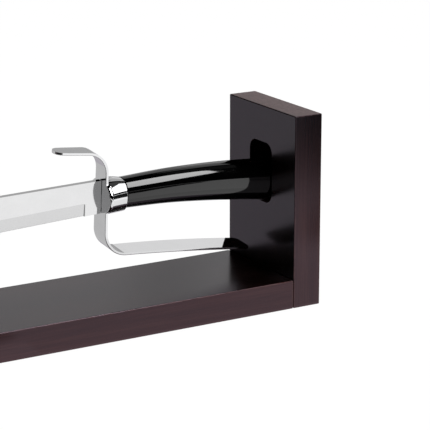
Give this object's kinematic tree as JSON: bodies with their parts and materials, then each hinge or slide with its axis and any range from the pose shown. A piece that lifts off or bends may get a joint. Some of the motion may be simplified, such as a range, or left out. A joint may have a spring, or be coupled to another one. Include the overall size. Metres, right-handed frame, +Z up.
{
  "type": "champagne sabre on display stand",
  "caption": "Curved-guard champagne sabre lying in a dark wooden stand: its butt rests in a pocketed end board, its blade in a slotted end board.",
  "frame": {"origin": "on the table under the middle of the assembly's bounding box, midway between the blade's tip and the handle-end upright's outer face", "axes": "+X along the stand from the blade's tip to the hilt, +Y to the back, +Z up"},
  "size_m": [0.4202, 0.09, 0.142],
  "materials": {
    "wood": "dark stained, satin",
    "dowel_wood": "raw beech",
    "felt": "black felt",
    "blade_steel": "fine satin, nearly mirror",
    "polished_steel": "mirror polished",
    "handle_black": "high gloss black",
    "hardware": "zinc plated"
  },
  "bodies": {
    "stand": {"base_board": "wood", "handle_upright": "wood", "blade_upright": "wood", "dowel_handle_end_1": "dowel_wood", "dowel_handle_end_2": "dowel_wood", "dowel_blade_end_1": "dowel_wood", "dowel_blade_end_2": "dowel_wood", "screw_handle_end_1": "hardware", "screw_handle_end_2": "hardware", "screw_blade_end_1": "hardware", "screw_blade_end_2": "hardware", "plug_handle_end_1": "wood", "plug_handle_end_2": "wood", "plug_blade_end_1": "wood", "plug_blade_end_2": "wood", "pad_handle_end_1": "felt", "pad_handle_end_2": "felt", "pad_blade_end_1": "felt", "pad_blade_end_2": "felt"},
    "sabre": {"blade": "blade_steel", "guard": "polished_steel", "ferrule": "polished_steel", "handle": "handle_black", "tang_washer": "hardware", "tang_nut": "hardware"}
  },
  "joints": [
    {"name": "sabre_draw", "type": "slide", "parent": "stand", "child": "sabre", "axis": [-0.866, 0, 0.5], "range_m": [0, 0.15]}
  ]
}
